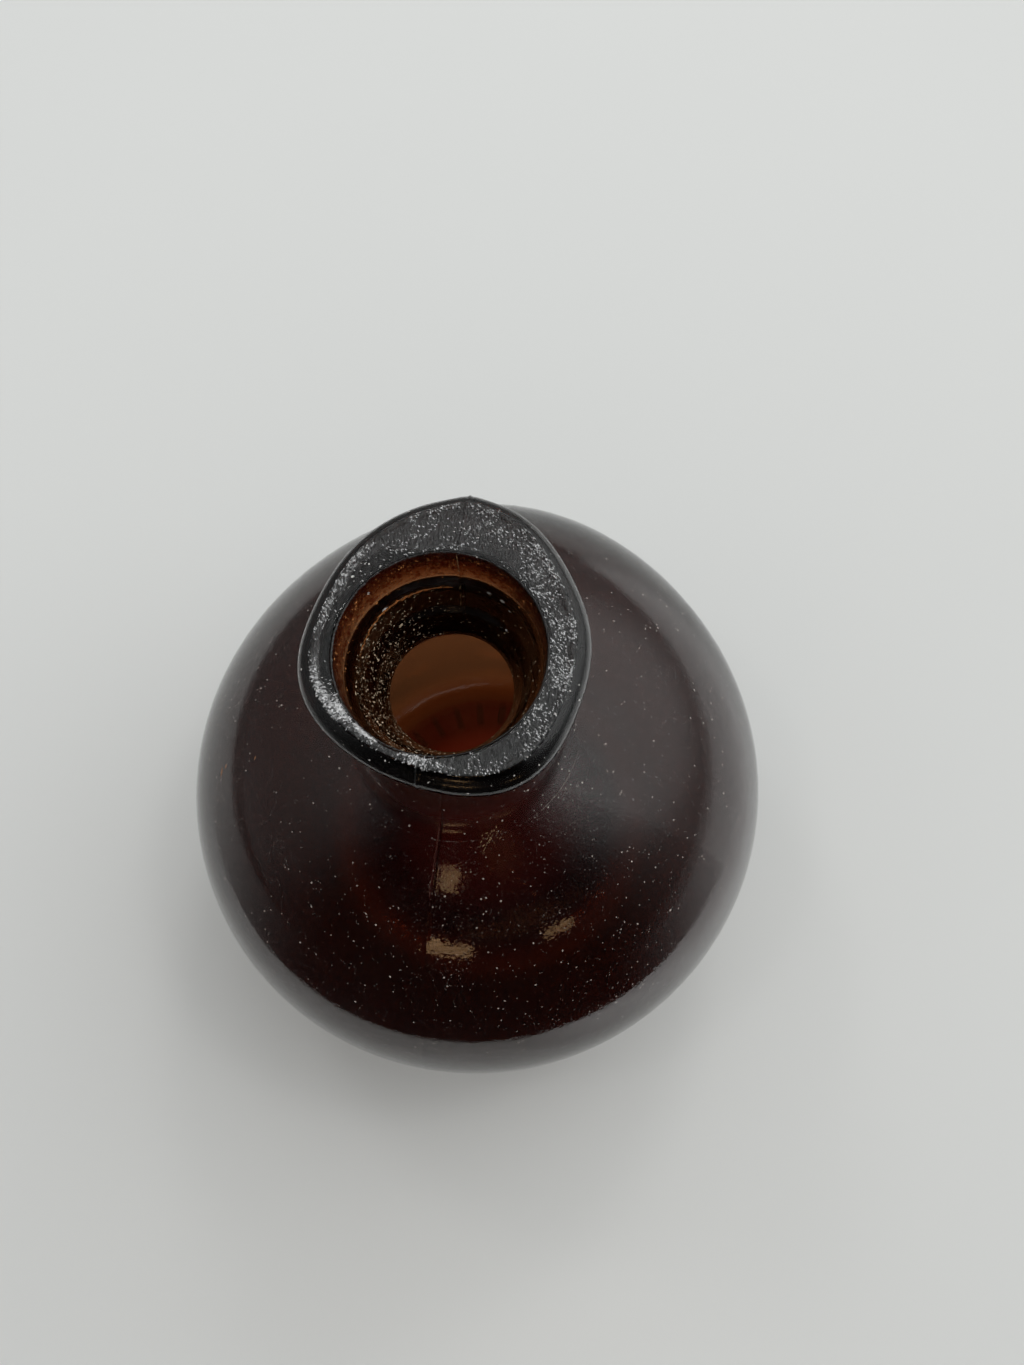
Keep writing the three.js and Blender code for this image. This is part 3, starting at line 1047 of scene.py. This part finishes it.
def paint_warm_highlight(glass, draw, shape):
    """Lays a painted highlight: warm strokes side by side in a slanting strip on the front of the globe,
    below the lip, that stand in for a warm lamp's reflection.
    """
    strokes, half_length, degrees, distance, lie = PAINTED_WARM_HIGHLIGHT
    marks = Chips()
    for _ in range(strokes):
        along = draw.uniform(-half_length, half_length) * MM
        off = draw.gauss(0, 0.8) * MM
        turn = math.degrees((along * 0.8 + off * 0.6) / ((distance - 1) * MM))
        place, normal = on_shoulder(glass, shape, degrees + turn, distance * MM - along * 0.5 + off)
        way = level_way(math.radians(lie) + draw.gauss(0, 0.25))
        marks.add_sliver(place, normal, way, draw.uniform(0.3, 1.1) * MM, 0.16 * MM, 0.05 * MM)
    marks.finish("painted_warm_highlight", (0.42, 0.28, 0.15))


def lay_flecks(glass, shape):
    """Lays the rust-brown flecks on the left of the globe."""
    marks = Chips()
    for degrees, distance, length, width in RUST_FLECKS:
        place, normal = on_shoulder(glass, shape, degrees, distance * MM)
        marks.add_sliver(
            place, normal, level_way(math.radians(degrees + 60)), length * MM, width * MM, 0.2 * MM)
    marks.finish("rust_flecks", (0.42, 0.19, 0.08))


def lay_seam_marks(glass, draw, shape):
    """Lays a broken dark line along the mould seam on the front of the globe."""
    count, degrees, nearest, pitch = SEAM_MARKS
    marks = Chips()
    for i in range(count):
        place, normal = on_shoulder(glass, shape, degrees + draw.gauss(0, 0.15), (nearest + i * pitch) * MM)
        way = Vector((place.x, place.y, 0)).normalized()
        marks.add_sliver(place, normal, way, draw.uniform(0.6, 1.1) * MM, 0.22 * MM, 0.05 * MM)
    marks.finish("seam_marks", (0.16, 0.045, 0.03))


# Painted glints inside the neck, bright marks that stand in for light caught there: direction in degrees,
# then height, length and width in millimetres. The white ones run round the neck, but for the fourth, and the
# gold ones up the seam.
ROUND_GLINTS = (
    (64, 187.9, 1.9, 0.9), (54, 187.5, 2.2, 1.0), (44, 179.9, 1.1, 0.7), (138, 197.7, 1.5, 1.0),
    (134, 187.8, 2.6, 0.7), (47, 186.0, 1.0, 0.5))
SEAM_GLINTS = (
    (82.8, 200.8, 2.6, 0.4), (82.8, 198.6, 2.4, 0.45), (82.9, 196.4, 2.4, 0.4), (82.8, 194.2, 2.2, 0.3),
    (82.8, 187.6, 1.8, 0.3), (82.7, 184.6, 2.4, 0.22), (82.8, 182.0, 2.6, 0.3))

# The lit foot of the step: first and last direction in degrees, height in metres, count of short marks
STEP_ARC = (88, 168, 187.35 * MM, 110)


def neck_spot(glass, degrees, height):
    """The place and the normal of the neck's inside in a direction, and the way round it there."""
    way = level_way(math.radians(degrees))
    _, place, normal, _ = glass.ray_cast(Vector((0, 0, height)), way)
    return place, normal, Vector((-way.y, way.x, 0))


def lay_glints(glass, name, glints, upright, colour):
    """Lays one kind of painted glint inside the neck: round it, or up it where its place in the list is
    upright.
    """
    marks = Chips()
    for i, (degrees, height, length, width) in enumerate(glints):
        place, normal, along = neck_spot(glass, degrees, height * MM)
        way = Vector((0, 0, 1)) if i in upright else along
        marks.add_sliver(place, normal, way, length * MM, width * MM, 0.15 * MM)
    marks.finish(name, colour)


def lay_lit_step(glass, draw):
    """Lays the orange line of light at the foot of the step, as many short marks side by side."""
    marks = Chips()
    first, last, height, count = STEP_ARC
    for i in range(count):
        share = i / (count - 1)
        drop = 1.4 * MM * max(share - 0.6, 0) / 0.4
        degrees = first + (last - first) * share
        place, normal, along = neck_spot(glass, degrees, height - drop + draw.gauss(0, 0.16) * MM)
        full = math.sin(math.pi * (0.12 + 0.8 * share))
        marks.add_sliver(
            place, normal, along, draw.uniform(0.5, 1.5) * MM, draw.uniform(0.35, 0.95) * full * MM, 0.1 * MM)
    marks.finish("lit_step", (0.62, 0.23, 0.06))


def find_glass():
    """The glass piece, which everything that lies on it needs."""
    glass = bpy.data.objects.get("glass_wall")
    if glass is None:
        raise RuntimeError("make the glass first")
    return glass


class VASE_OT_glass(Operator):
    """Spin and work the glass of the vase"""

    bl_idname = "vase.glass"
    bl_label = "Glass"

    def execute(self, context):
        shape = context.scene.vase_globe
        neck = context.scene.vase_neck
        lip = context.scene.vase_lip
        piece = spin_outline("glass_wall", glass_outline(shape, neck, lip), columns=440)
        gather_columns(piece, lip.seam_direction, share=0.5)
        press_grooves(piece, shape)
        fill_shoulder(piece, shape)
        soften_step(piece, neck)
        across = mark_flat(piece, neck, lip)
        pull_lip(piece, neck, lip)
        work_surface(piece, shape, neck, lip, across)
        piece.data.materials.append(glass_material(context.scene.vase_finish, lip, neck))
        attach(piece, "root")
        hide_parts(*CAD_NODES)
        return {"FINISHED"}


class VASE_OT_dust(Operator):
    """Scatter grains of dust over the glass"""

    bl_idname = "vase.dust"
    bl_label = "Dust"

    def execute(self, context):
        scatter_dust(find_glass(), context.scene.vase_dust, context.scene.vase_globe)
        return {"FINISHED"}


class VASE_OT_painted_glints(Operator):
    """Lay painted glints, bright flakes that stand in for the lip's sparkle, on the lip"""

    bl_idname = "vase.flakes"
    bl_label = "Flakes on the lip"

    def execute(self, context):
        scatter_painted_glints(find_glass(), context.scene.vase_dust, context.scene.vase_neck, context.scene.vase_lip)
        return {"FINISHED"}


class VASE_OT_scratches(Operator):
    """Scratch the globe, lay its flecks and seam marks, and lay a painted warm highlight on it"""

    bl_idname = "vase.scratches"
    bl_label = "Scratches on the globe"

    def execute(self, context):
        glass = find_glass()
        shape = context.scene.vase_globe
        spread = context.scene.vase_dust
        draw = random.Random(spread.seed + 2)
        scatter_scratches(glass, draw, spread, shape)
        paint_warm_highlight(glass, draw, shape)
        lay_flecks(glass, shape)
        lay_seam_marks(glass, draw, shape)
        return {"FINISHED"}


class VASE_OT_glints(Operator):
    """Lay the painted glints and the painted line of light inside the neck"""

    bl_idname = "vase.glints"
    bl_label = "Glints in the neck"

    def execute(self, context):
        glass = find_glass()
        lay_glints(glass, "white_glints", ROUND_GLINTS, (3,), (0.93, 0.92, 0.9))
        lay_glints(glass, "gold_glints", SEAM_GLINTS, range(len(SEAM_GLINTS)), (0.85, 0.58, 0.3))
        lay_lit_step(glass, random.Random(context.scene.vase_dust.seed + 3))
        return {"FINISHED"}


class VASE_OT_stage(Operator):
    """Set the floor, the light and the camera"""

    bl_idname = "vase.stage"
    bl_label = "Stage"

    def execute(self, context):
        look = context.scene.vase_stage
        make_floor(look)
        make_cards()
        make_lamps()
        make_world(look)
        make_camera(look)
        context.scene.view_settings.view_transform = "Standard"
        context.scene.cycles.max_bounces = 20
        context.scene.cycles.transmission_bounces = 20
        return {"FINISHED"}


# The glow of the floor under the vase: how far from the axis it is gone and full, and how far out its
# stronger middle begins and ends to fall, with the strengths before and after
GLOW_EDGE = (72 * MM, 60 * MM)
GLOW_MIDDLE = (47 * MM, 50 * MM, 1.1, 1.0)

# In the glass's reflections alone, the floor far behind on the left is darker: the direction, where this
# begins and is full in metres from the axis, and the share of the colour that is left
FAR_SIDE = math.radians(141)
FAR_RANGE = (0.57, 0.82)
FAR_SHADE = 0.28

# In the glass's reflections alone, the floor on the right is brighter: the direction, where this begins and
# is full, where it is gone and begins to fall, and how bright it is
LIGHT_SIDE = math.radians(-18)
LIGHT_RISE = (0.11, 0.2)
LIGHT_FALL = (1.2, 0.8)
LIGHT_SHINE = 0.42


def floor_material(look):
    """Pale floor, very faintly mottled. It glows under the vase for light that is seen through the glass."""
    material, desk, output, place = fresh_material("pale_floor")
    paths = desk.add("ShaderNodeLightPath").outputs
    mottled = (*(c * 0.97 for c in look.floor_colour), 1)
    pale = desk.blend(desk.noise(place, 3.0, detail=3.0), mottled, (*look.floor_colour, 1))
    far = desk.remap(desk.vector("DOT_PRODUCT", place, level_way(FAR_SIDE)), *FAR_RANGE)
    colour = desk.blend(
        desk.times(far, paths["Is Glossy Ray"]), pale, (*(c * FAR_SHADE for c in look.floor_colour), 1))
    distance = desk.vector("LENGTH", desk.vector("MULTIPLY", place, (1, 1, 0)))
    under = desk.times(
        desk.remap(distance, *GLOW_EDGE), desk.remap(distance, *GLOW_MIDDLE),
        look.glow_under_glass, paths["Is Transmission Ray"])
    beside = desk.vector("DOT_PRODUCT", place, level_way(LIGHT_SIDE))
    shine = desk.times(
        desk.remap(beside, *LIGHT_RISE), desk.remap(beside, *LIGHT_FALL), LIGHT_SHINE, paths["Is Glossy Ray"])
    paper = desk.feed(
        desk.add("ShaderNodeBsdfPrincipled"), Base_Color=colour, Roughness=0.7, Metallic=0.0,
        Emission_Color=(1, 1, 1, 1), Emission_Strength=desk.math("ADD", under, shine))
    desk.feed(output, Surface=paper.outputs["BSDF"])
    return material


def make_floor(look):
    """A wide level floor, a hair under the foot."""
    bpy.ops.object.select_all(action="DESELECT")
    bpy.ops.mesh.primitive_plane_add(size=12, location=(0, 0, -0.05 * MM))
    floor = bpy.context.object
    floor.name = "floor"
    floor.data.materials.append(floor_material(look))


# The middle of the dark side that the photographer stands on, and how far off it, as a cosine, the cards are
# gone and begin to fade
DARK_SIDE = math.radians(-93)
DARK_FADE = (-0.05, 0.8)

# Dark cards on that side, which only the vase's reflections show: their colour, and their first and last
# direction in degrees from +X towards +Y; then name, distance and height of each row, and whether it shades
CARD_COLOUR = (0.045, 0.037, 0.037)
CARD_SPAN = (-180, -15)
CARDS = (
    ("front_card_low", ((0.285, 0.0005), (0.36, 0.2), (0.45, 0.4)), False),
    ("front_card_high", ((0.45, 0.4), (0.5, 0.7), (0.33, 1.3)), True),
)


def card_material(name):
    """Plain matt card that fades out to both sides of the dark side's middle."""
    material, desk, output, place = fresh_material(name)
    shown = desk.toward(desk.vector("MULTIPLY", place, (1, 1, 0)), DARK_SIDE, *DARK_FADE)
    matt = desk.feed(
        desk.add("ShaderNodeBsdfPrincipled"), Base_Color=(*CARD_COLOUR, 1), Roughness=0.9, Metallic=0.0,
        Alpha=shown, Specular_IOR_Level=0.0)
    desk.feed(output, Surface=matt.outputs["BSDF"])
    return material


def make_cards():
    """Dark cards just outside the picture, as a photographer sets them to draw the edges of glass."""
    steps = 32
    first, last = CARD_SPAN
    for name, rows, shades in CARDS:
        points = []
        faces = []
        for i in range(steps + 1):
            way = level_way(math.radians(first + (last - first) * i / steps))
            points += [(distance * way.x, distance * way.y, height) for distance, height in rows]
        for i in range(steps):
            for j in range(len(rows) - 1):
                a = i * len(rows) + j
                faces.append((a, a + 1, a + 1 + len(rows), a + len(rows)))
        mesh = bpy.data.meshes.new(name)
        mesh.from_pydata(points, [], faces)
        card = bpy.data.objects.new(name, mesh)
        bpy.context.collection.objects.link(card)
        mesh.materials.append(card_material(name))
        card.visible_camera = False
        card.visible_diffuse = shades
        card.visible_shadow = shades


# Lamps: name, place, aim, width, height, radiance, colour
COOL = (1.0, 0.98, 0.96)
WARM = (1.0, 0.62, 0.3)
LAMPS = (
    ("lamp_behind_left", (-0.55, 0.75, 1.25), (0, 0, 0.13), 0.26, 0.18, 7.0, COOL),
    ("lamp_behind_right", (0.3, 0.9, 1.15), (0, 0, 0.13), 0.26, 0.18, 9.0, COOL),
    ("lamp_above_right", (0.6, 0.2, 1.4), (0, 0, 0.13), 0.22, 0.18, 9.0, COOL),
    ("lamp_above_left", (-0.5, -0.05, 1.4), (0, 0, 0.13), 0.2, 0.16, 7.0, COOL),
    ("warm_lamp_middle", (-0.033, -0.19, 0.33), (-0.002, -0.046, 0.141), 0.03, 0.042, 1.9, WARM),
    ("warm_lamp_low", (-0.037, -0.279, 0.234), (-0.003, -0.065, 0.131), 0.074, 0.026, 2.2, WARM),
    ("warm_lamp_right", (0.134, -0.246, 0.236), (0.029, -0.058, 0.131), 0.05, 0.016, 1.9, WARM),
    ("warm_lamp_small", (-0.06, -0.277, 0.25), (-0.003, -0.065, 0.131), 0.014, 0.012, 1.6, WARM),
)


def make_lamps():
    """Four lamps overhead, and four small warm ones in front."""
    for name, place, aim, width, height, radiance, colour in LAMPS:
        data = bpy.data.lights.new(name, "AREA")
        data.shape = "RECTANGLE"
        data.size = width
        data.size_y = height
        data.energy = math.pi * width * height * radiance
        data.color = colour
        lamp = bpy.data.objects.new(name, data)
        lamp.location = place
        lamp.rotation_euler = (Vector(place) - Vector(aim)).to_track_quat("Z", "Y").to_euler()
        lamp.visible_camera = False
        bpy.context.collection.objects.link(lamp)


# Sides of the room, each with its direction and how high it stands: where most of the light comes from,
# and where it is a little darker, behind on the left
BRIGHT_SIDE = (math.radians(28), math.radians(46))
DIM_SIDE = (math.radians(150), math.radians(22))

# The cosines off these sides where the change begins and is full, and the share of light left on the dim one
BRIGHT_SPREAD = (0.62, 0.9)
DIM_SPREAD = (0.6, 0.95)
DIM_SHARE = 0.6


def room_way(direction, rise):
    """A direction into the room."""
    way = level_way(direction) * math.cos(rise)
    way.z = math.sin(rise)
    return way


def make_world(look):
    """Soft light, stronger from above than from the horizon and a little stronger from one side."""
    world = bpy.data.worlds.new("studio")
    bpy.context.scene.world = world
    world.use_nodes = True
    world.node_tree.nodes.clear()
    desk = NodeDesk(world.node_tree)
    output = desk.add("ShaderNodeOutputWorld")
    way = desk.add("ShaderNodeTexCoord").outputs["Generated"]
    rise = desk.feed(desk.add("ShaderNodeSeparateXYZ"), Vector=way).outputs["Z"]
    strength = desk.remap(rise, 0.0, 0.9, look.horizon_light, look.zenith_light)
    bright = desk.vector("DOT_PRODUCT", way, room_way(*BRIGHT_SIDE))
    strength = desk.math("ADD", strength, desk.remap(bright, *BRIGHT_SPREAD, 0.0, look.side_light))
    dim = desk.vector("DOT_PRODUCT", way, room_way(*DIM_SIDE))
    strength = desk.times(strength, desk.remap(dim, *DIM_SPREAD, 1.0, DIM_SHARE))
    sky = desk.feed(desk.add("ShaderNodeBackground"), Color=(0.985, 1.0, 0.995, 1), Strength=strength)
    desk.feed(output, Surface=sky.outputs["Background"])


# The camera's view, and what lies to its right, which is turned a little out of the level
CAMERA_FORWARD = (-0.0415, 0.3266, -0.9443)
CAMERA_RIGHT = (0.9991, 0.0136, -0.0392)


def make_camera(look):
    """The camera at the photograph's viewing angle, a little rolled."""
    data = bpy.data.cameras.new("camera")
    data.lens = look.focal_length
    camera = bpy.data.objects.new("camera", data)
    bpy.context.collection.objects.link(camera)
    forward = Vector(CAMERA_FORWARD).normalized()
    right = Vector(CAMERA_RIGHT)
    right = (right - forward * right.dot(forward)).normalized()
    turn = Matrix((right, right.cross(forward), -forward)).transposed().to_4x4()
    camera.matrix_world = Matrix.Translation(look.camera_place) @ turn
    bpy.context.scene.camera = camera


class VASE_PT_panel(Panel):
    """The vase's sizes and steps in the sidebar"""

    bl_label = "Bubble glass vase"
    bl_idname = "VASE_PT_panel"
    bl_space_type = "VIEW_3D"
    bl_region_type = "UI"
    bl_category = "Vase"

    def draw(self, context):
        layout = self.layout
        for name, title, _ in GROUPS:
            box = layout.box()
            box.label(text=title)
            group = getattr(context.scene, name)
            for key in group.__annotations__:
                box.prop(group, key)
        for step in STEPS:
            layout.operator(step.bl_idname)


GROUPS = (
    ("vase_globe", "Globe", GlobeShape),
    ("vase_neck", "Neck", NeckShape),
    ("vase_lip", "Lip", LipShape),
    ("vase_finish", "Glass", GlassFinish),
    ("vase_dust", "Dust", DustSpread),
    ("vase_stage", "Stage", StageLook),
)
STEPS = (VASE_OT_glass, VASE_OT_dust, VASE_OT_painted_glints, VASE_OT_scratches, VASE_OT_glints, VASE_OT_stage)
CLASSES = (*(kind for _, _, kind in GROUPS), *STEPS, VASE_PT_panel)


def register():
    for cls in CLASSES:
        bpy.utils.register_class(cls)
    for name, _, kind in GROUPS:
        setattr(bpy.types.Scene, name, PointerProperty(type=kind))


def unregister():
    for name, _, _ in GROUPS:
        delattr(bpy.types.Scene, name)
    for cls in reversed(CLASSES):
        bpy.utils.unregister_class(cls)


def main():
    register()
    bpy.ops.vase.glass()
    bpy.ops.vase.dust()
    bpy.ops.vase.flakes()
    bpy.ops.vase.scratches()
    bpy.ops.vase.glints()
    bpy.ops.vase.stage()


if __name__ == "__main__":
    main()
